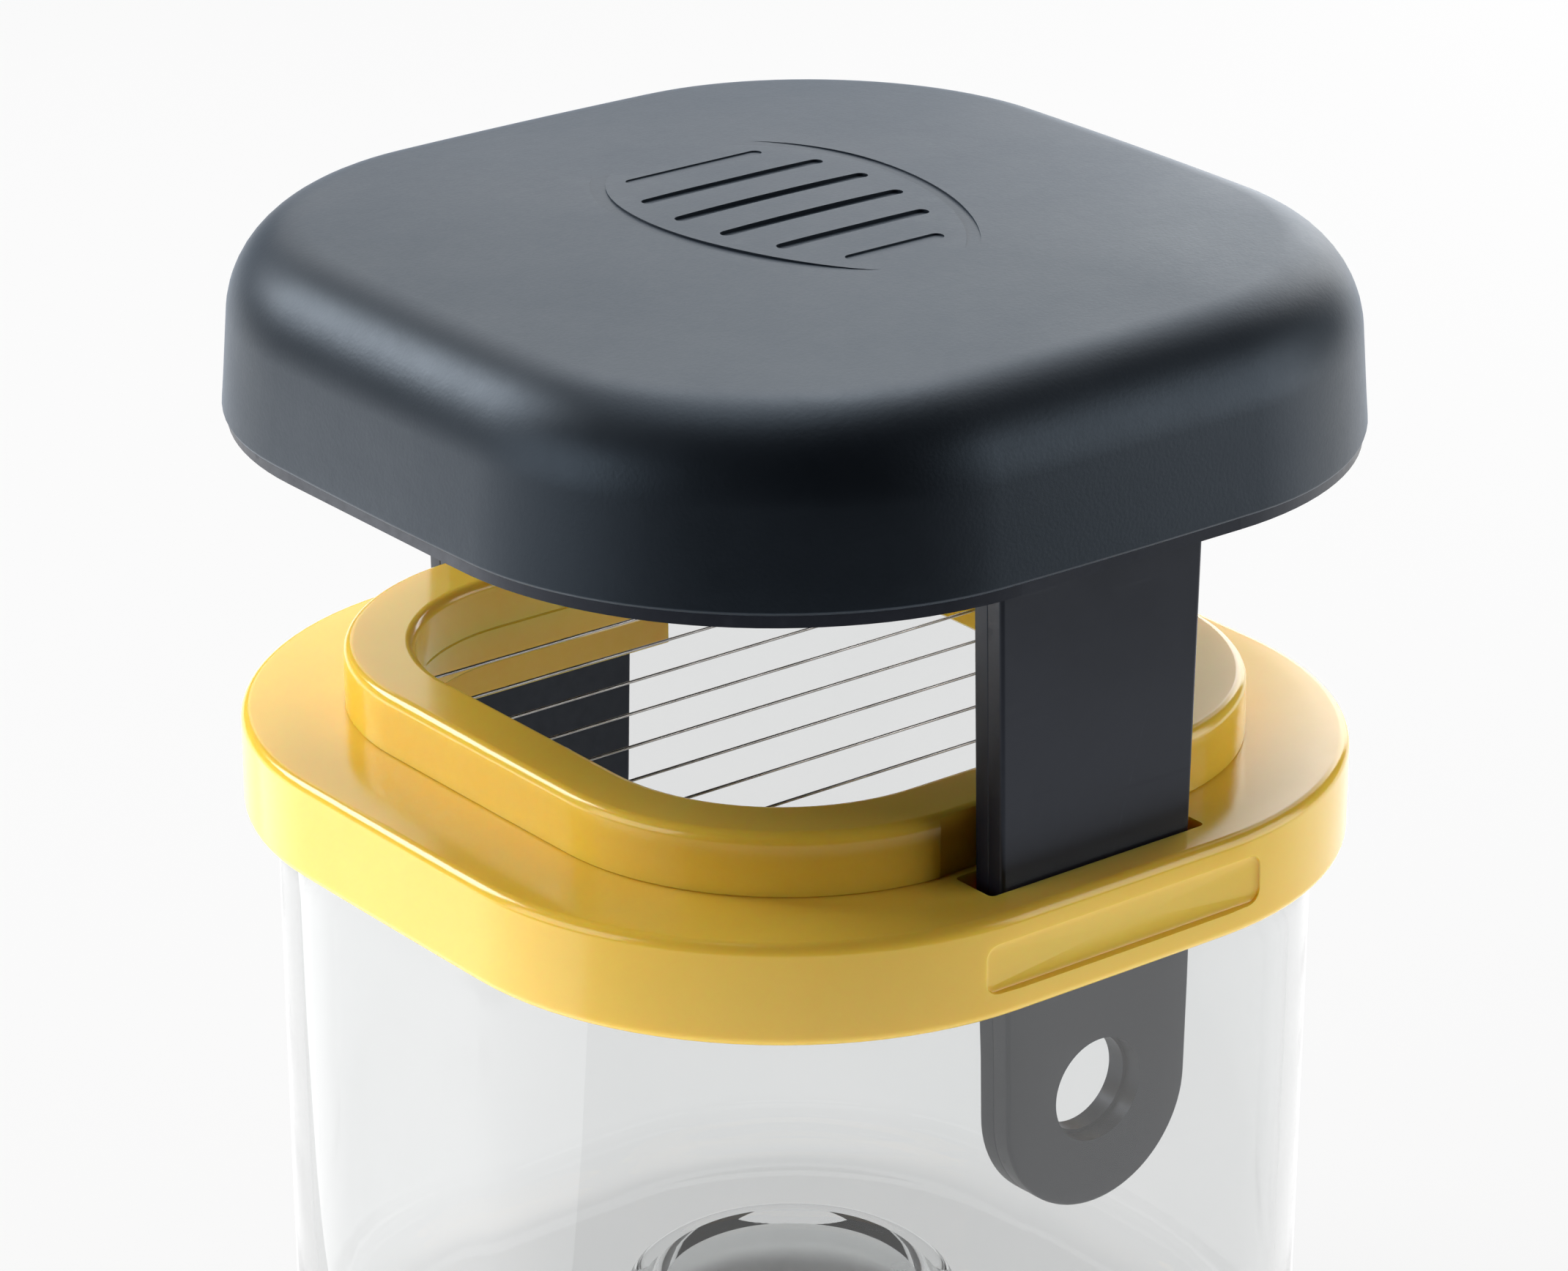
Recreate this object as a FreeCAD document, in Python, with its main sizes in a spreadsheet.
import FreeCAD, Part
import math
import os
import re

import Sketcher

# Egg slicer: a clear container, a cutting head of two rings with nine wires clamped between them,
# and a pusher cap whose two legs slide down through the head.
# Millimetres. Z is up, the origin is the centre of the container's base, X runs along the wires and
# the legs stand at -Y and +Y. The cap is drawn part way up its stroke, cap_gap above the head.

NODE_FOLDER = "parts"
CLOSE = 1e-3

# Driving dimensions: alias, value, what it is.
SIZES = (
    ("flange_length", 80.0, "lower ring of the head, along X"),
    ("flange_width", 82.8, "lower ring of the head, along Y"),
    ("flange_corner", 29.3, "its corner radius"),
    ("flange_level", 62.5, "its top face above the table"),
    ("flange_height", 8.5, "top face to the skirt's lower edge"),
    ("flange_plate", 2.5, "thickness of its top plate"),
    ("flange_edge", 0.9, "rounding of the skirt's edges"),
    ("skirt_wall", 1.4, "thickness of the skirt"),
    ("grip_length", 28.0, "shallow finger recess in the skirt, along X"),
    ("grip_height", 4.3, "its height"),
    ("grip_drop", 4.2, "its centre below the flange's top face"),
    ("grip_depth", 0.5, "its depth into the skirt"),
    ("grip_corner", 1.2, "its corner radius"),
    ("opening_length", 51.4, "egg opening through both rings, along X"),
    ("opening_width", 54.0, "egg opening, along Y"),
    ("opening_corner", 15.6, "its corner radius"),
    ("lip_width", 2.6, "raised lip round the opening"),
    ("lip_height", 0.8, "its height, which is the level of the wires"),
    ("lip_clearance", 0.05, "lip to the collar's recess"),
    ("collar_end_band", 5.7, "upper ring, from the opening to its outer face, along X"),
    ("collar_leg_gap", 1.2, "its outer face to the legs, along Y"),
    ("collar_corner", 21.0, "its outer corner radius"),
    ("collar_height", 5.2, "its height"),
    ("collar_edge", 0.9, "rounding of its top edges"),
    ("peg_radius", 1.0, "pegs that stake the collar to the flange"),
    ("peg_root", 1.5, "depth at which a peg starts inside the collar"),
    ("peg_clearance", 0.05, "peg to its hole"),
    ("peg_head_radius", 1.6, "staked head of a peg"),
    ("peg_head_height", 0.6, "thickness of that head"),
    ("wire_count", 9, "cutting wires"),
    ("wire_end_gap", 5.68, "outermost wires to the opening's wall; the others are evenly spaced between"),
    ("wire_diameter", 0.25, "stainless wire"),
    ("wire_clearance", 0.02, "wire to its groove"),
    ("crimp_length", 1.2, "ferrule crimped on each wire end"),
    ("crimp_diameter", 1.0, "its outer diameter"),
    ("crimp_clearance", 0.15, "ferrule to the channel it lies in"),
    ("leg_thickness", 3.3, "leg blade"),
    ("leg_end_radius", 9.0, "round lower end of a leg"),
    ("leg_taper", 1.3, "slope of each side of a leg, in degrees"),
    ("leg_edge", 0.35, "rounding of its edges"),
    ("leg_hole", 8.0, "hole in a leg"),
    ("leg_hole_drop", 19.35, "that hole below the flange's top face"),
    ("leg_hole_rise", 0.8, "that hole above the centre of the round end"),
    ("leg_hole_step", 0.3, "the hole is this much wider in the outer half of the blade"),
    ("leg_head_overhang", 1.5, "the leg's head stands out this far each side"),
    ("leg_head_height", 3.0, "height of that head"),
    ("leg_wall_gap", 0.6, "leg to the container's wall, at the rim"),
    ("slot_end_gap", 0.8, "widest part of the leg to each end of its slot"),
    ("slot_side_gap", 0.3, "leg to the slot's outer edge and to the guide"),
    ("slot_inner_relief", 0.5, "extra width of the slot on the collar's side"),
    ("guide_wall", 1.3, "wall of the leg guide under the flange"),
    ("guide_depth", 5.6, "depth of the guide below the plate"),
    ("guide_set_back", 0.4, "ends of the guide inside the leg's outer face, clear of the container"),
    ("cap_overhang", 0.8, "cap's rim beyond the flange, along X; it is as wide as the flange along Y"),
    ("cap_corner", 30.0, "its corner radius there"),
    ("cap_gap", 25.4, "cap's underside above the flange, as drawn"),
    ("cap_height", 14.9, "cap's wall, rim to shoulder"),
    ("cap_draft", 4.3, "slope of its wall, in degrees"),
    ("cap_shoulder", 7.5, "rounding of its shoulder"),
    ("cap_crown", 1.6, "rise of the top from the shoulder to the middle"),
    ("cap_wall", 1.8, "thickness of the wall"),
    ("cap_roof", 2.0, "thickness of the roof at the shoulder"),
    ("cap_inner_round", 6.0, "rounding inside, under the shoulder"),
    ("rib_width", 1.6, "ribs in the cap that hold the leg heads down"),
    ("rib_offset", 5.0, "rib to the middle of the leg"),
    ("boss_radius", 6.0, "boss in the cap that holds the comb down"),
    ("plate_band", 1.0, "edge of the press plate seen under the cap"),
    ("plate_inset", 0.5, "that edge stands in from the cap's rim"),
    ("spigot_height", 3.0, "collar of the plate inside the cap's wall"),
    ("spigot_wall", 1.1, "its thickness"),
    ("press_clearance", 0.05, "pieces pressed together in the cap"),
    ("riser_gap", 0.6, "plate's riser to the collar, when closed"),
    ("riser_wall", 0.95, "its thickness"),
    ("deck_gap", 1.0, "plate's deck above the collar, when closed"),
    ("deck_thickness", 1.2, "deck that carries the comb"),
    ("deck_ledge", 4.0, "width of the deck round its opening"),
    ("comb_plate", 1.4, "plate that the slats hang from"),
    ("slat_wire_gap", 0.84, "slats to the wires that they pass between"),
    ("slat_reach", 5.0, "slat ends below the flange's top face, when closed"),
    ("slat_gap", 0.6, "slats to the wall of the opening"),
    ("slat_hollow", 90.0, "radius of the hollow in the slats' lower edges"),
    ("closed_gap", 0.2, "press plate to the flange, when closed"),
    ("seat_gap", 0.05, "container's rim to the underside of the flange's plate"),
    ("skirt_gap", 0.2, "container to the skirt"),
    ("container_corner", 30.5, "corner radius of the container at its rim"),
    ("container_wall", 1.5, "thickness of its wall"),
    ("container_floor", 2.5, "thickness of its floor"),
    ("container_draft", 0.3, "slope of its wall, in degrees"),
    ("container_foot", 6.0, "rounding round its base"),
    ("container_rim", 0.4, "rounding of its rim"),
    ("punt_radius", 16.0, "raised dish in the middle of the floor"),
    ("punt_height", 8.0, "its height above the floor"),
    ("punt_draft", 12.0, "slope of its side, in degrees"),
    ("punt_wall", 2.2, "its thickness"),
    ("punt_round", 2.0, "rounding of its edges"),
    ("dish_radius", 11.5, "shallow dish in the top of the punt"),
    ("dish_depth", 1.0, "its depth"),
)

doc = FreeCAD.newDocument("egg_slicer")
sheet = doc.addObject("Spreadsheet::Sheet", "Sizes")
for row, (alias, size, note) in enumerate(SIZES, start=1):
    sheet.set(f"A{row}", alias)
    sheet.set(f"B{row}", str(size))
    sheet.set(f"C{row}", note)
    sheet.setAlias(f"B{row}", alias)
doc.recompute()

ALIASES = {alias for alias, _, _ in SIZES}


def formula(text):
    """The text as an expression: each alias in it is read from the sheet."""
    return re.sub(r"[a-z_]+", lambda word: "Sizes." + word[0] if word[0] in ALIASES else word[0], text)


def number(text):
    """What a formula comes to now."""
    return float(sheet.evalExpression(formula(text)))


# Levels, half sizes and other values worked out from the sheet.
FLANGE_X = "(flange_length / 2)"
FLANGE_Y = "(flange_width / 2)"
SKIRT_FOOT = "(flange_level - flange_height)"
PLATE_UNDER = "(flange_level - flange_plate)"
OPENING_X = "(opening_length / 2)"
OPENING_Y = "(opening_width / 2)"
LIP_X = f"({OPENING_X} + lip_width)"
LIP_Y = f"({OPENING_Y} + lip_width)"
LIP_CORNER = "(opening_corner + lip_width)"
COLLAR_X = f"({OPENING_X} + collar_end_band)"
WIRE_LEVEL = "(flange_level + lip_height)"
WIRE_PITCH = "((opening_width - 2 * wire_end_gap) / (wire_count - 1))"
CONTAINER_X = f"({FLANGE_X} - skirt_wall - skirt_gap)"
CONTAINER_Y = f"({FLANGE_Y} - skirt_wall - skirt_gap)"
CONTAINER_TOP = f"({PLATE_UNDER} - seat_gap)"
CONTAINER_LEAN = f"({CONTAINER_TOP} * tan(container_draft))"
LEG_OUTER = f"({CONTAINER_Y} - container_wall - leg_wall_gap)"
LEG_INNER = f"({LEG_OUTER} - leg_thickness)"
COLLAR_Y = f"({LEG_INNER} - collar_leg_gap)"
LEG_HOLE = "(flange_level - leg_hole_drop)"
LEG_END = f"({LEG_HOLE} - leg_hole_rise)"
CAP_UNDER = "(flange_level + cap_gap)"
CAP_RIM = f"({CAP_UNDER} + plate_band)"
CAP_CEILING = f"({CAP_RIM} + cap_height - cap_roof)"
CAP_X = f"({FLANGE_X} + cap_overhang)"
CAP_Y = FLANGE_Y
LEG_TOP = f"({CAP_RIM} + leg_head_height)"
RISER_X = f"({COLLAR_X} + riser_gap)"
RISER_Y = f"({COLLAR_Y} + riser_gap)"
RISER_CORNER = "(collar_corner + riser_gap)"
DECK_UNDER = f"({CAP_UNDER} + collar_height + deck_gap)"
DECK_TOP = f"({DECK_UNDER} + deck_thickness)"
COMB_TOP = f"({DECK_TOP} + comb_plate)"
SLAT_END = "(flange_level + cap_gap - closed_gap - slat_reach)"
SLAT_X = f"({OPENING_X} - slat_gap)"
SLAT_Y = f"({OPENING_Y} - slat_gap)"
SLAT_CORNER = "(opening_corner - slat_gap)"
SLAT_THICKNESS = f"({WIRE_PITCH} - wire_diameter - 2 * slat_wire_gap)"


def leg_half_width(level):
    """Half the width of a leg at a level: its sides lean out from the round end upwards."""
    return f"(leg_end_radius / cos(leg_taper) + ({level} - {LEG_END}) * tan(leg_taper))"


def lip_reach(across):
    """How far the lip's outline stands from the middle, along X, at a distance across from it."""
    beyond = f"max(0; abs({across}) - ({LIP_Y} - {LIP_CORNER}))"
    return f"({LIP_X} - {LIP_CORNER} + sqrt({LIP_CORNER}^2 - ({beyond})^2))"


def wire_across(index):
    """Where a wire lies along Y; the wires are counted from the front, from 0."""
    return f"(({index} - (wire_count - 1) / 2) * {WIRE_PITCH})"


def crimp_start(across):
    """Where a ferrule begins, along X: its whole end face stands clear of the lip."""
    nearer = f"max(0; abs({across}) - crimp_diameter / 2)"
    return f"({lip_reach(nearer)} + crimp_clearance)"


SLOT_X = f"({leg_half_width(CAP_UNDER)} + slot_end_gap)"

# The channel round the lip is wide enough for the outermost ferrules, which lie askew to it.
LAST_CRIMP_X = f"({crimp_start(wire_across(0))} + crimp_length - {LIP_X} + {LIP_CORNER})"
LAST_CRIMP_Y = f"max(0; abs({wire_across(0)}) + crimp_diameter / 2 - {LIP_Y} + {LIP_CORNER})"
CHANNEL = f"(sqrt({LAST_CRIMP_X}^2 + ({LAST_CRIMP_Y})^2) - {LIP_CORNER} + crimp_clearance)"


# ---- how the pieces are drawn ----------------------------------------------------------------

def new_body(label):
    body = doc.addObject("PartDesign::Body", label)
    body.Label = label
    return body


def origin_part(body, role):
    """An axis or plane of the body's own origin."""
    return next(part for part in body.Origin.OriginFeatures if part.Role == role)


def new_sketch(body, name, plane="XY_Plane", offset="0"):
    sketch = body.newObject("Sketcher::SketchObject", f"{body.Label}_{name}_sketch")
    sketch.AttachmentSupport = [(origin_part(body, plane), "")]
    sketch.MapMode = "FlatFace"
    sketch.setExpression("AttachmentOffset.Base.z", formula(offset))
    return sketch


def bind(sketch, kind, elements, text):
    """A dimension of the sketch that takes its value from a formula."""
    index = sketch.addConstraint(Sketcher.Constraint(kind, *elements, number(text)))
    name = f"size_{index}"
    sketch.renameConstraint(index, name)
    sketch.setExpression(f"Constraints.{name}", formula(text))


def draw_circle(sketch, x, y, radius):
    centre = FreeCAD.Vector(number(x), number(y), 0)
    circle = sketch.addGeometry(Part.Circle(centre, FreeCAD.Vector(0, 0, 1), number(radius)))
    bind(sketch, "Radius", (circle,), radius)
    bind(sketch, "DistanceX", (-1, 1, circle, 3), x)
    bind(sketch, "DistanceY", (-1, 1, circle, 3), y)


def draw_polygon(sketch, points):
    """A closed outline of straight sides; each corner is a pair of formulas."""
    places = [FreeCAD.Vector(number(x), number(y), 0) for x, y in points]
    following = places[1:] + places[:1]
    sides = [sketch.addGeometry(Part.LineSegment(a, b)) for a, b in zip(places, following)]
    for side, after in zip(sides, sides[1:] + sides[:1]):
        sketch.addConstraint(Sketcher.Constraint("Coincident", side, 2, after, 1))
    for side, (x, y) in zip(sides, points):
        bind(sketch, "DistanceX", (-1, 1, side, 1), x)
        bind(sketch, "DistanceY", (-1, 1, side, 1), y)


def draw_rectangle(sketch, left, right, low, high):
    draw_polygon(sketch, ((left, low), (right, low), (right, high), (left, high)))


def draw_rounded_rectangle(sketch, half_x, half_y, corner, middle_y="0"):
    """A rectangle with round corners, centred on the origin or at middle_y above it."""
    a, b, r, m = number(half_x), number(half_y), number(corner), number(middle_y)
    quarter = math.pi / 2
    centres = ((a - r, m + b - r), (r - a, m + b - r), (r - a, m + r - b), (a - r, m + r - b))
    arcs = []
    for turn, (x, y) in enumerate(centres):
        circle = Part.Circle(FreeCAD.Vector(x, y, 0), FreeCAD.Vector(0, 0, 1), r)
        arcs.append(sketch.addGeometry(Part.ArcOfCircle(circle, turn * quarter, (turn + 1) * quarter)))
    sides = []
    for turn in range(4):
        start = sketch.getPoint(arcs[turn], 2)
        end = sketch.getPoint(arcs[(turn + 1) % 4], 1)
        side = sketch.addGeometry(Part.LineSegment(start, end))
        sides.append(side)
        sketch.addConstraint(Sketcher.Constraint("Tangent", arcs[turn], 2, side, 1))
        sketch.addConstraint(Sketcher.Constraint("Tangent", side, 2, arcs[(turn + 1) % 4], 1))
        sketch.addConstraint(Sketcher.Constraint("Horizontal" if turn % 2 == 0 else "Vertical", side))
    for arc in arcs[1:]:
        sketch.addConstraint(Sketcher.Constraint("Equal", arcs[0], arc))
    bind(sketch, "Radius", (arcs[0],), corner)
    bind(sketch, "DistanceX", (-1, 1, sides[3], 1), half_x)
    bind(sketch, "DistanceX", (sides[1], 1, -1, 1), half_x)
    bind(sketch, "DistanceY", (-1, 1, sides[0], 1), f"{middle_y} + ({half_y})")
    bind(sketch, "DistanceY", (-1, 1, sides[2], 1), f"{middle_y} - ({half_y})")


def extrude(body, kind, name, sketch, length, taper, backwards, both_ways):
    feature = body.newObject(f"PartDesign::{kind}", f"{body.Label}_{name}")
    feature.Profile = sketch
    feature.setExpression("Length", formula(length))
    feature.setExpression("TaperAngle", formula(taper))
    feature.Reversed = backwards
    feature.Midplane = both_ways
    doc.recompute()
    return feature


def pad(body, name, sketch, length, taper="0", backwards=False):
    before = volume(body)
    feature = extrude(body, "Pad", name, sketch, length, taper, backwards, False)
    if body.Shape.Volume <= before:
        raise ValueError(f"{feature.Label} adds nothing")
    return feature


def pocket(body, name, sketch, depth, taper="0", backwards=False, both_ways=False):
    before = volume(body)
    feature = extrude(body, "Pocket", name, sketch, depth, taper, backwards, both_ways)
    if body.Shape.Volume >= before:
        raise ValueError(f"{feature.Label} cuts nothing")
    return feature


def volume(body):
    return 0.0 if body.Tip is None else body.Shape.Volume


def mirror(body, name, features, plane="XZ_Plane"):
    copy = body.newObject("PartDesign::Mirrored", f"{body.Label}_{name}")
    copy.Originals = features
    copy.MirrorPlane = (origin_part(body, plane), [""])
    body.Tip = copy
    doc.recompute()


def repeat(body, name, feature, axis, count, spacing):
    pattern = body.newObject("PartDesign::LinearPattern", f"{body.Label}_{name}")
    pattern.Originals = [feature]
    pattern.Direction = (origin_part(body, axis), [""])
    pattern.Mode = "Spacing"
    pattern.setExpression("Offset", formula(spacing))
    pattern.setExpression("Occurrences", formula(count))
    body.Tip = pattern
    doc.recompute()


def round_edges(body, name, radius, wanted):
    """Rounds the edges of the body so far that wanted() picks."""
    base = body.Tip
    names = [f"Edge{i}" for i, edge in enumerate(base.Shape.Edges, start=1) if wanted(edge)]
    if not names:
        raise ValueError(f"{body.Label} has no edges for {name}")
    feature = body.newObject("PartDesign::Fillet", f"{body.Label}_{name}")
    feature.Base = (base, names)
    feature.setExpression("Radius", formula(radius))
    doc.recompute()


def level_edges(level):
    """Picks the edges that lie in the horizontal plane at a level."""
    z = number(level)
    return lambda edge: abs(edge.BoundBox.ZMin - z) < CLOSE and abs(edge.BoundBox.ZMax - z) < CLOSE


def outline_edges(level, half_x, half_y, corner):
    """Picks the edges of one rounded rectangle at a level."""
    at_level = level_edges(level)
    a, b, r = number(half_x), number(half_y), number(corner)

    def wanted(edge):
        if not at_level(edge):
            return False
        if isinstance(edge.Curve, Part.Circle):
            return abs(edge.Curve.Radius - r) < CLOSE
        box = edge.BoundBox
        on_end = abs(box.XMax - box.XMin) < CLOSE and abs(abs(box.XMax) - a) < CLOSE
        on_side = abs(box.YMax - box.YMin) < CLOSE and abs(abs(box.YMax) - b) < CLOSE
        return on_end or on_side

    return wanted


# ---- container -------------------------------------------------------------------------------

def make_container():
    """Clear tub: drafted wall, flat floor with a round base edge, and a hollow punt in the middle."""
    body = new_body("container")
    outer = new_sketch(body, "outer")
    draw_rounded_rectangle(
        outer,
        f"{CONTAINER_X} - {CONTAINER_LEAN}",
        f"{CONTAINER_Y} - {CONTAINER_LEAN}",
        f"container_corner - {CONTAINER_LEAN}",
    )
    pad(body, "outer", outer, CONTAINER_TOP, "container_draft")
    round_edges(body, "foot", "container_foot", level_edges("0"))

    inner = new_sketch(body, "inner", offset=CONTAINER_TOP)
    draw_rounded_rectangle(
        inner,
        f"{CONTAINER_X} - container_wall",
        f"{CONTAINER_Y} - container_wall",
        "container_corner - container_wall",
    )
    pocket(body, "inner", inner, f"{CONTAINER_TOP} - container_floor", "-container_draft")
    round_edges(body, "floor", "container_foot - container_wall", level_edges("container_floor"))

    punt = new_sketch(body, "punt", offset="container_floor")
    draw_circle(punt, "0", "0", "punt_radius")
    pad(body, "punt", punt, "punt_height", "-punt_draft")
    round_edges(body, "punt_edges", "punt_round", level_edges("container_floor + punt_height"))
    dish = new_sketch(body, "dish", offset="container_floor + punt_height")
    draw_circle(dish, "0", "0", "dish_radius")
    pocket(body, "dish", dish, "dish_depth")
    hollow = new_sketch(body, "hollow")
    draw_circle(hollow, "0", "0", "punt_radius - punt_wall + container_floor * tan(punt_draft)")
    pocket(
        body,
        "hollow",
        hollow,
        "container_floor + punt_height - dish_depth - punt_wall",
        "-punt_draft",
        backwards=True,
    )
    round_edges(body, "rim", "container_rim", level_edges(CONTAINER_TOP))
    return body


# ---- cutting head ----------------------------------------------------------------------------

def peg_places():
    """The four pegs stand in the lip, on the diagonals of the opening's corners."""
    reach = "(opening_corner + lip_width / 2) * cos(45)"
    x = f"({OPENING_X} - opening_corner + {reach})"
    y = f"({OPENING_Y} - opening_corner + {reach})"
    return [(f"{across}{x}", f"{along}{y}") for across in ("-", "+") for along in ("-", "+")]


def groove_wires(body):
    """Half-round grooves for the wires, which lie at the level where the two rings meet."""
    sketch = new_sketch(body, "groove", plane="YZ_Plane")
    draw_circle(sketch, wire_across(0), WIRE_LEVEL, "wire_diameter / 2 + wire_clearance")
    groove = pocket(body, "groove", sketch, f"2 * ({LIP_X} + {CHANNEL})", both_ways=True)
    repeat(body, "grooves", groove, "Y_Axis", "wire_count", WIRE_PITCH)


def make_flange_ring():
    """Lower ring: an upturned tray whose skirt hangs round the container, with a raised lip."""
    body = new_body("flange_ring")
    outer = new_sketch(body, "outer", offset=SKIRT_FOOT)
    draw_rounded_rectangle(outer, FLANGE_X, FLANGE_Y, "flange_corner")
    pad(body, "outer", outer, "flange_height")
    for place, level in (("top", "flange_level"), ("foot", SKIRT_FOOT)):
        edges = outline_edges(level, FLANGE_X, FLANGE_Y, "flange_corner")
        round_edges(body, f"{place}_edge", "min(flange_edge; skirt_wall * 0.8)", edges)

    tray = new_sketch(body, "tray", offset=SKIRT_FOOT)
    draw_rounded_rectangle(
        tray, f"{FLANGE_X} - skirt_wall", f"{FLANGE_Y} - skirt_wall", "flange_corner - skirt_wall"
    )
    pocket(body, "tray", tray, "flange_height - flange_plate", backwards=True)

    lip = new_sketch(body, "lip", offset="flange_level")
    draw_rounded_rectangle(lip, LIP_X, LIP_Y, LIP_CORNER)
    pad(body, "lip", lip, "lip_height")

    opening = new_sketch(body, "opening", offset=WIRE_LEVEL)
    draw_rounded_rectangle(opening, OPENING_X, OPENING_Y, "opening_corner")
    pocket(body, "opening", opening, "lip_height + flange_plate")

    pegs = new_sketch(body, "pegs", offset=WIRE_LEVEL)
    for x, y in peg_places():
        draw_circle(pegs, x, y, "peg_radius + peg_clearance")
    pocket(body, "peg_holes", pegs, "lip_height + flange_plate")

    slot = new_sketch(body, "slot", offset="flange_level")
    inner_edge = f"-({LEG_INNER} - slot_side_gap - slot_inner_relief)"
    outer_edge = f"-({LEG_OUTER} + slot_side_gap)"
    draw_rectangle(slot, f"-{SLOT_X}", SLOT_X, outer_edge, inner_edge)
    slot_cut = pocket(body, "slot", slot, "flange_plate")

    guide = new_sketch(body, "guide", offset=PLATE_UNDER)
    guide_face = f"-({LEG_INNER} - slot_side_gap)"
    guide_back = f"-({LEG_INNER} - slot_side_gap - guide_wall)"
    guide_end = f"-({LEG_OUTER} - guide_set_back)"
    half_outside = f"({SLOT_X} + guide_wall)"
    corners = (
        (f"-{half_outside}", guide_end),
        (f"-{SLOT_X}", guide_end),
        (f"-{SLOT_X}", guide_face),
        (SLOT_X, guide_face),
        (SLOT_X, guide_end),
        (half_outside, guide_end),
        (half_outside, guide_back),
        (f"-{half_outside}", guide_back),
    )
    draw_polygon(guide, corners)
    guide_pad = pad(body, "guide", guide, "guide_depth", backwards=True)

    grip = new_sketch(body, "grip", plane="XZ_Plane", offset=FLANGE_Y)
    draw_rounded_rectangle(
        grip, "grip_length / 2", "grip_height / 2", "grip_corner", middle_y="flange_level - grip_drop"
    )
    grip_cut = pocket(body, "grip", grip, "grip_depth")
    mirror(body, "rear", [slot_cut, guide_pad, grip_cut])
    groove_wires(body)
    return body


def make_collar_ring():
    """Upper ring: it clamps the wires on the lip, hides their ferrules and is staked by four pegs."""
    body = new_body("collar_ring")
    outer = new_sketch(body, "outer", offset="flange_level")
    draw_rounded_rectangle(outer, COLLAR_X, COLLAR_Y, "collar_corner")
    pad(body, "outer", outer, "collar_height")

    recess = new_sketch(body, "recess", offset="flange_level")
    draw_rounded_rectangle(
        recess, f"{LIP_X} + lip_clearance", f"{LIP_Y} + lip_clearance", f"{LIP_CORNER} + lip_clearance"
    )
    pocket(body, "recess", recess, "lip_height", backwards=True)

    channel = new_sketch(body, "channel", offset="flange_level")
    for grow in ("lip_clearance", CHANNEL):
        draw_rounded_rectangle(
            channel, f"{LIP_X} + {grow}", f"{LIP_Y} + {grow}", f"{LIP_CORNER} + {grow}"
        )
    channel_depth = "lip_height + crimp_diameter / 2 + crimp_clearance"
    pocket(body, "channel", channel, channel_depth, backwards=True)

    opening = new_sketch(body, "opening", offset="flange_level + collar_height")
    draw_rounded_rectangle(opening, OPENING_X, OPENING_Y, "opening_corner")
    pocket(body, "opening", opening, "collar_height")
    top = level_edges("flange_level + collar_height")
    round_edges(body, "top_edges", "collar_edge", top)

    pegs = new_sketch(body, "pegs", offset=f"{WIRE_LEVEL} + peg_root")
    heads = new_sketch(body, "heads", offset=PLATE_UNDER)
    for x, y in peg_places():
        draw_circle(pegs, x, y, "peg_radius")
        draw_circle(heads, x, y, "peg_head_radius")
    pad(body, "pegs", pegs, "peg_root + lip_height + flange_plate", backwards=True)
    pad(body, "peg_heads", heads, "peg_head_height", backwards=True)
    groove_wires(body)
    return body


def make_wires():
    """Nine straight wires along X, each from the outer end of one ferrule to that of the other."""
    wires = []
    for index in range(round(number("wire_count"))):
        wire = doc.addObject("Part::Cylinder", f"wire_{index + 1}")
        across = wire_across(index)
        half = f"({crimp_start(across)} + crimp_length)"
        wire.Placement.Rotation = FreeCAD.Rotation(FreeCAD.Vector(0, 1, 0), 90)
        wire.setExpression("Radius", formula("wire_diameter / 2"))
        wire.setExpression("Height", formula(f"2 * {half}"))
        wire.setExpression("Placement.Base.x", formula(f"-{half}"))
        wire.setExpression("Placement.Base.y", formula(across))
        wire.setExpression("Placement.Base.z", formula(WIRE_LEVEL))
        wires.append(wire)
    return wires


def make_wire_crimps():
    """A ferrule on both ends of every wire, outside the lip: eighteen alike, as one group."""
    along = FreeCAD.Vector(1, 0, 0)
    length = number("crimp_length")
    tubes = []
    for index in range(round(number("wire_count"))):
        across = number(wire_across(index))
        inner_end = number(crimp_start(wire_across(index)))
        for start in (inner_end, -inner_end - length):
            place = FreeCAD.Vector(start, across, number(WIRE_LEVEL))
            sleeve = Part.makeCylinder(number("crimp_diameter / 2"), length, place, along)
            bore = Part.makeCylinder(number("wire_diameter / 2"), length, place, along)
            tubes.append(sleeve.cut(bore))
    crimps = doc.addObject("Part::Feature", "wire_crimps")
    crimps.Shape = Part.makeCompound(tubes)
    crimps.Placement = FreeCAD.Placement()
    return crimps


# ---- pusher cap ------------------------------------------------------------------------------

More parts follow.
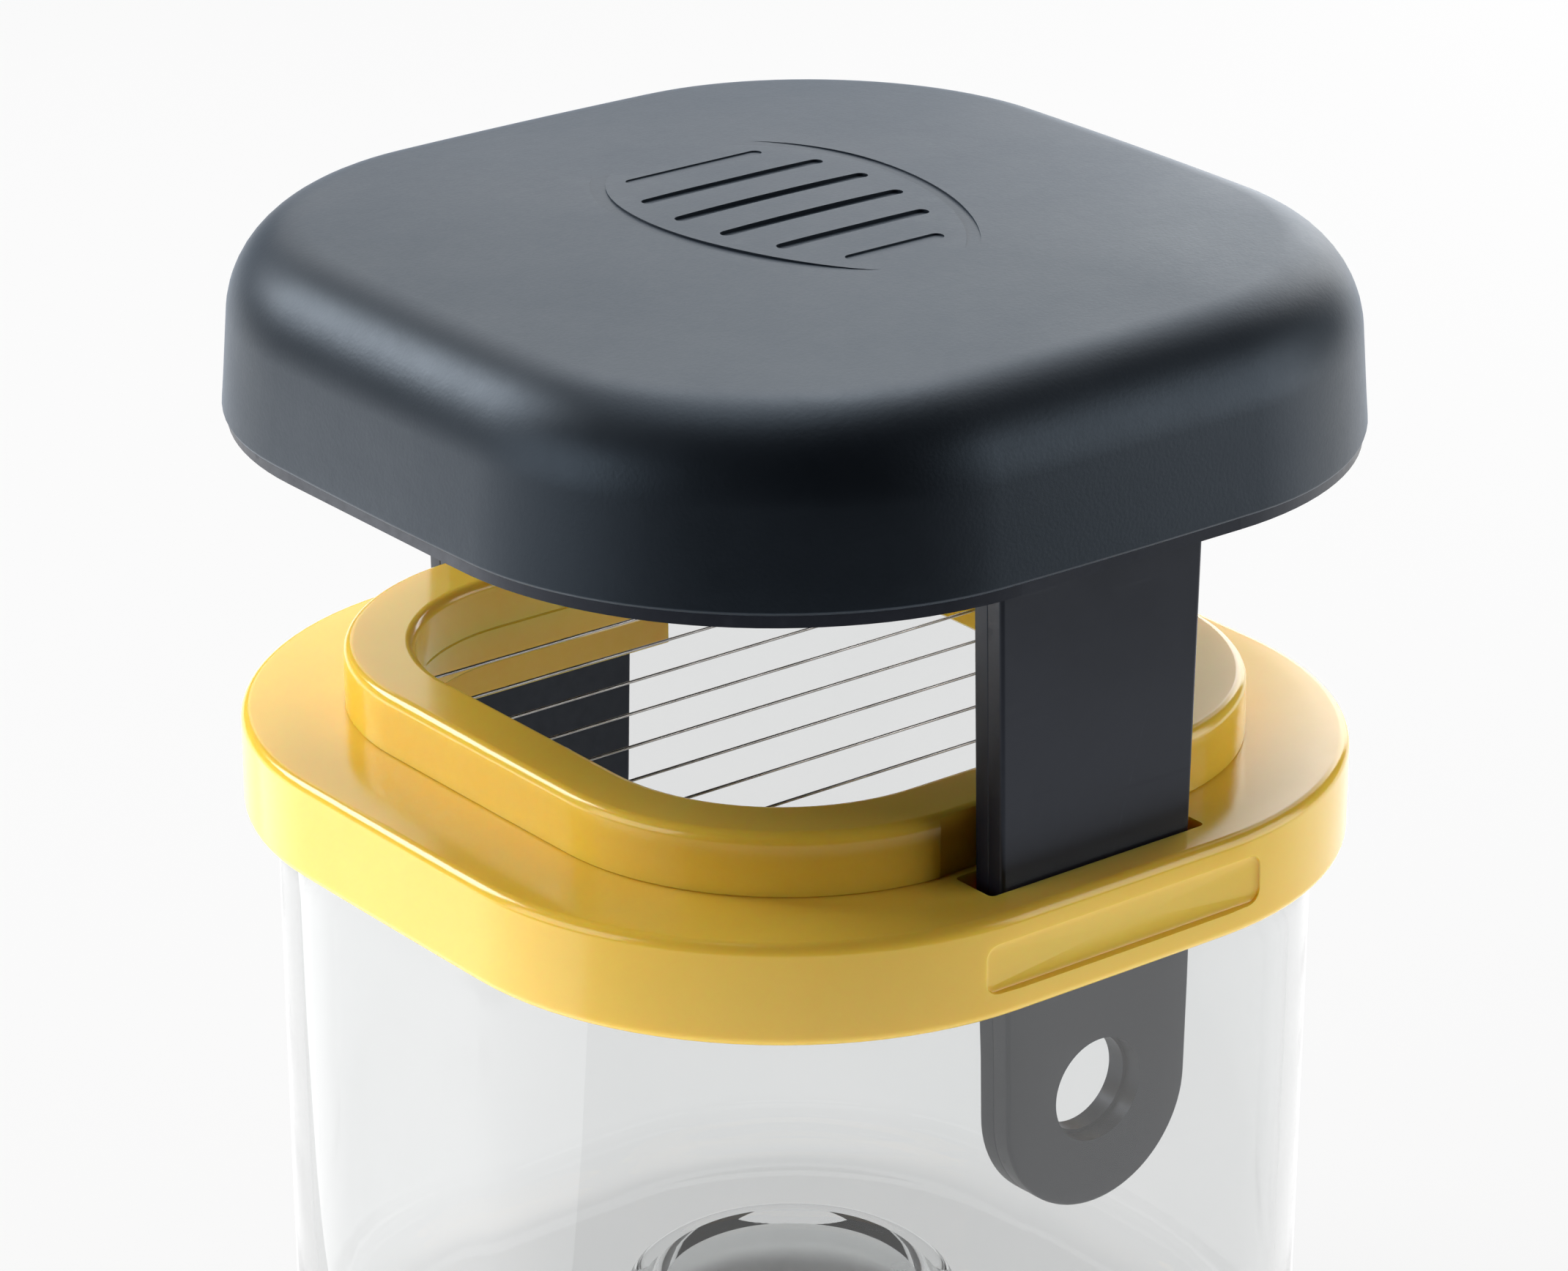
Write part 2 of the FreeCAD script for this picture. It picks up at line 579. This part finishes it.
def make_cap_shell():
    """Outer shell of the cap: drafted wall, large shoulder and crowned top, hollow underneath."""
    body = new_body("cap_shell")
    outer = new_sketch(body, "outer", offset=CAP_RIM)
    draw_rounded_rectangle(outer, CAP_X, CAP_Y, "cap_corner")
    pad(body, "outer", outer, "cap_height + cap_crown", "-cap_draft")

    # The crown is part of a large sphere whose top is at the middle of the cap.
    crown = new_sketch(body, "crown", plane="XZ_Plane")
    reach = number(f"{CAP_X} + {CAP_Y}")
    top = number(f"{CAP_RIM} + cap_height + cap_crown")
    radius = number(f"({CAP_X}^2 + cap_crown^2) / (2 * cap_crown)")
    centre = FreeCAD.Vector(0, top - radius, 0)
    sweep = math.asin(reach / radius)
    sphere = Part.Circle(centre, FreeCAD.Vector(0, 0, 1), radius)
    arc = crown.addGeometry(Part.ArcOfCircle(sphere, math.pi / 2 - sweep, math.pi / 2))
    low = crown.getPoint(arc, 1)
    high = crown.getPoint(arc, 2)
    corner = FreeCAD.Vector(low.x, high.y + 1.0, 0)
    above = FreeCAD.Vector(0, high.y + 1.0, 0)
    side = crown.addGeometry(Part.LineSegment(low, corner))
    roof = crown.addGeometry(Part.LineSegment(corner, above))
    axis = crown.addGeometry(Part.LineSegment(above, high))
    joints = ((arc, 1, side, 1), (side, 2, roof, 1), (roof, 2, axis, 1), (axis, 2, arc, 2))
    for first, end, second, start in joints:
        crown.addConstraint(Sketcher.Constraint("Coincident", first, end, second, start))
    for line, kind in ((side, "Vertical"), (roof, "Horizontal"), (axis, "Vertical")):
        crown.addConstraint(Sketcher.Constraint(kind, line))
    crown.addConstraint(Sketcher.Constraint("PointOnObject", arc, 3, -2))
    crown.addConstraint(Sketcher.Constraint("PointOnObject", arc, 2, -2))
    bind(crown, "Radius", (arc,), f"({CAP_X}^2 + cap_crown^2) / (2 * cap_crown)")
    bind(crown, "DistanceY", (-1, 1, arc, 2), f"{CAP_RIM} + cap_height + cap_crown")
    bind(crown, "DistanceX", (-1, 1, arc, 1), f"{CAP_X} + {CAP_Y}")
    bind(crown, "DistanceY", (arc, 2, axis, 1), "1")
    groove = body.newObject("PartDesign::Groove", "cap_shell_crown")
    groove.Profile = crown
    groove.ReferenceAxis = (origin_part(body, "Z_Axis"), [""])
    groove.Angle = 360
    before = volume(body)
    doc.recompute()
    if body.Shape.Volume >= before:
        raise ValueError("the crown cuts nothing")

    shoulder = number(f"{CAP_RIM} + cap_height / 2")
    round_edges(body, "shoulder", "cap_shoulder", lambda edge: edge.BoundBox.ZMin > shoulder)

    inner = new_sketch(body, "inner", offset=CAP_RIM)
    draw_rounded_rectangle(inner, f"{CAP_X} - cap_wall", f"{CAP_Y} - cap_wall", "cap_corner - cap_wall")
    pocket(body, "inner", inner, "cap_height - cap_roof", "-cap_draft", backwards=True)
    round_edges(body, "inner_round", "cap_inner_round", level_edges(CAP_CEILING))

    ribs = new_sketch(body, "ribs", offset=CAP_CEILING)
    for side in ("-", ""):
        for end in ("-", ""):
            near, far = "rib_offset - rib_width / 2", "rib_offset + rib_width / 2"
            inner_face, outer_face = f"({LEG_INNER} + 0.2)", f"({LEG_OUTER} - 0.4)"
            draw_rectangle(
                ribs, f"{end}({near})", f"{end}({far})", f"{side}{inner_face}", f"{side}{outer_face}"
            )
    pad(body, "ribs", ribs, f"{CAP_CEILING} - {LEG_TOP}", backwards=True)
    boss = new_sketch(body, "boss", offset=CAP_CEILING)
    draw_circle(boss, "0", "0", "boss_radius")
    pad(body, "boss", boss, f"{CAP_CEILING} - {COMB_TOP}", backwards=True)
    return body


def make_press_plate():
    """Plate pressed into the cap's rim: an edge band, a riser that clears the collar, and a deck."""
    body = new_body("press_plate")
    band = new_sketch(body, "band", offset=CAP_UNDER)
    draw_rounded_rectangle(
        band, f"{CAP_X} - plate_inset", f"{CAP_Y} - plate_inset", "cap_corner - plate_inset"
    )
    pad(body, "band", band, "plate_band")

    spigot_in = "(cap_wall + press_clearance)"
    spigot = new_sketch(body, "spigot", offset=CAP_RIM)
    draw_rounded_rectangle(
        spigot, f"{CAP_X} - {spigot_in}", f"{CAP_Y} - {spigot_in}", f"cap_corner - {spigot_in}"
    )
    pad(body, "spigot", spigot, "spigot_height", "-cap_draft")
    well_in = f"({spigot_in} + spigot_wall)"
    well = new_sketch(body, "well", offset=CAP_RIM)
    draw_rounded_rectangle(
        well, f"{CAP_X} - {well_in}", f"{CAP_Y} - {well_in}", f"cap_corner - {well_in}"
    )
    pocket(body, "well", well, "spigot_height", "-cap_draft", backwards=True)

    riser = new_sketch(body, "riser", offset=CAP_UNDER)
    draw_rounded_rectangle(
        riser, f"{RISER_X} + riser_wall", f"{RISER_Y} + riser_wall", f"{RISER_CORNER} + riser_wall"
    )
    pad(body, "riser", riser, f"{DECK_TOP} - {CAP_UNDER}")
    inside = new_sketch(body, "inside", offset=CAP_UNDER)
    draw_rounded_rectangle(inside, RISER_X, RISER_Y, RISER_CORNER)
    pocket(body, "inside", inside, f"{DECK_UNDER} - {CAP_UNDER}", backwards=True)
    window = new_sketch(body, "window", offset=DECK_TOP)
    draw_rounded_rectangle(
        window, f"{RISER_X} - deck_ledge", f"{RISER_Y} - deck_ledge", f"{RISER_CORNER} - deck_ledge"
    )
    pocket(body, "window", window, "deck_thickness")

    slots = new_sketch(body, "slots", offset=CAP_RIM)
    half = f"({leg_half_width(CAP_RIM)} + press_clearance)"
    near, far = f"({LEG_INNER} - press_clearance)", f"({LEG_OUTER} + press_clearance)"
    for side in ("-", ""):
        draw_rectangle(slots, f"-{half}", half, f"{side}{near}", f"{side}{far}")
    pocket(body, "slots", slots, "plate_band")

    # The riser is cut back where the legs' heads stand beside it.
    rooms = new_sketch(body, "head_rooms", offset=DECK_TOP)
    half = f"({leg_half_width(LEG_TOP)} + leg_head_overhang + press_clearance)"
    for side in ("-", ""):
        draw_rectangle(rooms, f"-{half}", half, f"{side}{near}", f"{side}{far}")
    pocket(body, "head_rooms", rooms, f"{DECK_TOP} - {CAP_RIM}")
    return body


def make_slat_comb():
    """The pusher proper: ten slats that pass between the wires, hollowed below to the egg's curve."""
    body = new_body("slat_comb")
    plate = new_sketch(body, "plate", offset=DECK_TOP)
    draw_rounded_rectangle(plate, RISER_X, RISER_Y, RISER_CORNER)
    pad(body, "plate", plate, "comb_plate")

    # Each slat stands half way between two wires; the first is outside the first wire.
    slat = new_sketch(body, "slat", plane="XY_Plane", offset=DECK_TOP)
    middle = f"(wire_count / 2 * {WIRE_PITCH})"
    half = f"{SLAT_THICKNESS} / 2"
    draw_rectangle(slat, f"-{SLAT_X}", SLAT_X, f"-{middle} - {half}", f"-{middle} + {half}")
    slat_pad = pad(body, "slat", slat, f"{DECK_TOP} - {SLAT_END}", backwards=True)
    repeat(body, "slats", slat_pad, "Y_Axis", "wire_count + 1", WIRE_PITCH)

    # The slats are trimmed to the outline of the opening.
    trim = new_sketch(body, "trim", offset=DECK_TOP)
    draw_rectangle(trim, f"-{RISER_X}", RISER_X, f"-{RISER_Y}", RISER_Y)
    draw_rounded_rectangle(trim, SLAT_X, SLAT_Y, SLAT_CORNER)
    pocket(body, "trim", trim, f"{DECK_TOP} - {SLAT_END}")

    # The hollow is part of a large sphere that meets the slat ends on the long axis.
    radius = number("slat_hollow")
    half = number(SLAT_X)
    depth = radius - math.sqrt(radius ** 2 - half ** 2)
    hollow = new_sketch(body, "hollow", plane="XZ_Plane")
    centre = FreeCAD.Vector(0, number(SLAT_END) + depth - radius, 0)
    sphere = Part.Circle(centre, FreeCAD.Vector(0, 0, 1), radius)
    sweep = math.asin(half / radius)
    arc = hollow.addGeometry(Part.ArcOfCircle(sphere, math.pi / 2 - sweep, math.pi / 2))
    low = hollow.getPoint(arc, 1)
    high = hollow.getPoint(arc, 2)
    floor = FreeCAD.Vector(0, low.y, 0)
    base = hollow.addGeometry(Part.LineSegment(floor, low))
    axis = hollow.addGeometry(Part.LineSegment(high, floor))
    for first, end, second, start in ((arc, 1, base, 2), (arc, 2, axis, 1), (axis, 2, base, 1)):
        hollow.addConstraint(Sketcher.Constraint("Coincident", first, end, second, start))
    hollow.addConstraint(Sketcher.Constraint("Horizontal", base))
    hollow.addConstraint(Sketcher.Constraint("Vertical", axis))
    hollow.addConstraint(Sketcher.Constraint("PointOnObject", arc, 3, -2))
    hollow.addConstraint(Sketcher.Constraint("PointOnObject", arc, 2, -2))
    bind(hollow, "Radius", (arc,), "slat_hollow")
    bind(hollow, "DistanceX", (-1, 1, arc, 1), SLAT_X)
    bind(hollow, "DistanceY", (-1, 1, arc, 1), SLAT_END)
    groove = body.newObject("PartDesign::Groove", "slat_comb_hollow")
    groove.Profile = hollow
    groove.ReferenceAxis = (origin_part(body, "Z_Axis"), [""])
    groove.Angle = 360
    before = volume(body)
    doc.recompute()
    if body.Shape.Volume >= before:
        raise ValueError("the hollow cuts nothing")
    return body


def make_leg(label, turn):
    """A flat blade with a round end and a hole; its head is trapped between plate and cap.

    It is drawn at the front (-Y), and turned about the vertical axis to its place.
    """
    body = new_body(label)
    blade = new_sketch(body, "blade", plane="XZ_Plane", offset=LEG_OUTER)
    end_radius, end_level = number("leg_end_radius"), number(LEG_END)
    taper = math.radians(number("leg_taper"))
    top_level, top_half = number(LEG_TOP), number(leg_half_width(LEG_TOP))
    circle = Part.Circle(FreeCAD.Vector(0, end_level, 0), FreeCAD.Vector(0, 0, 1), end_radius)
    arc = blade.addGeometry(Part.ArcOfCircle(circle, math.pi + taper, 2 * math.pi - taper))
    left, right = FreeCAD.Vector(-top_half, top_level, 0), FreeCAD.Vector(top_half, top_level, 0)
    left_side = blade.addGeometry(Part.LineSegment(left, blade.getPoint(arc, 1)))
    right_side = blade.addGeometry(Part.LineSegment(blade.getPoint(arc, 2), right))
    top = blade.addGeometry(Part.LineSegment(right, left))
    blade.addConstraint(Sketcher.Constraint("Tangent", left_side, 2, arc, 1))
    blade.addConstraint(Sketcher.Constraint("Tangent", arc, 2, right_side, 1))
    blade.addConstraint(Sketcher.Constraint("Coincident", right_side, 2, top, 1))
    blade.addConstraint(Sketcher.Constraint("Coincident", top, 2, left_side, 1))
    blade.addConstraint(Sketcher.Constraint("PointOnObject", arc, 3, -2))
    bind(blade, "Radius", (arc,), "leg_end_radius")
    bind(blade, "DistanceY", (-1, 1, arc, 3), LEG_END)
    bind(blade, "DistanceX", (-1, 1, top, 1), leg_half_width(LEG_TOP))
    bind(blade, "DistanceX", (-1, 1, top, 2), f"-{leg_half_width(LEG_TOP)}")
    bind(blade, "DistanceY", (-1, 1, top, 1), LEG_TOP)
    bind(blade, "DistanceY", (-1, 1, top, 2), LEG_TOP)
    draw_circle(blade, "0", LEG_HOLE, "leg_hole / 2")
    pad(body, "blade", blade, "leg_thickness", backwards=True)

    outer_face, inner_face = -number(LEG_OUTER), -number(LEG_INNER)

    def face_outline(edge):
        box = edge.BoundBox
        flat = box.YMax - box.YMin < CLOSE
        on_face = min(abs(box.YMax - outer_face), abs(box.YMax - inner_face)) < CLOSE
        is_hole = isinstance(edge.Curve, Part.Circle) and edge.Curve.Radius < end_radius - CLOSE
        return flat and on_face and not is_hole and box.ZMin < top_level - CLOSE

    round_edges(body, "edges", "leg_edge", face_outline)

    step = new_sketch(body, "step", plane="XZ_Plane", offset=LEG_OUTER)
    draw_circle(step, "0", LEG_HOLE, "leg_hole / 2 + leg_hole_step")
    pocket(body, "step", step, "leg_thickness / 2")

    head = new_sketch(body, "head", plane="XZ_Plane", offset=LEG_OUTER)
    half = f"({leg_half_width(LEG_TOP)} + leg_head_overhang)"
    draw_rectangle(head, f"-{half}", half, CAP_RIM, LEG_TOP)
    pad(body, "head", head, "leg_thickness", backwards=True)
    body.Placement = FreeCAD.Placement(FreeCAD.Vector(), FreeCAD.Rotation(FreeCAD.Vector(0, 0, 1), turn))
    return body


# ---- build, check, write ---------------------------------------------------------------------

pieces = [make_container(), make_flange_ring(), make_collar_ring()]
pieces += make_wires()
pieces.append(make_wire_crimps())
pieces += [make_cap_shell(), make_press_plate(), make_slat_comb()]
pieces += [make_leg("front_leg", 0), make_leg("rear_leg", 180)]
doc.recompute()

for item in doc.Objects:
    if "Invalid" in item.State or "Error" in item.State:
        raise ValueError(f"{item.Label} did not build: {item.State}")
for piece in pieces:
    if piece.Shape.isNull() or not piece.Shape.isValid():
        raise ValueError(f"{piece.Label} has no valid shape")

os.makedirs(NODE_FOLDER, exist_ok=True)
for piece in pieces:
    piece.Shape.exportStep(os.path.join(NODE_FOLDER, f"{piece.Label}.step"))
    box = piece.Shape.optimalBoundingBox()
    print(
        f"{piece.Label}: {box.XLength:.2f} x {box.YLength:.2f} x {box.ZLength:.2f} mm, "
        f"{len(piece.Shape.Solids)} solid(s), {piece.Shape.Volume / 1000:.2f} cm3"
    )
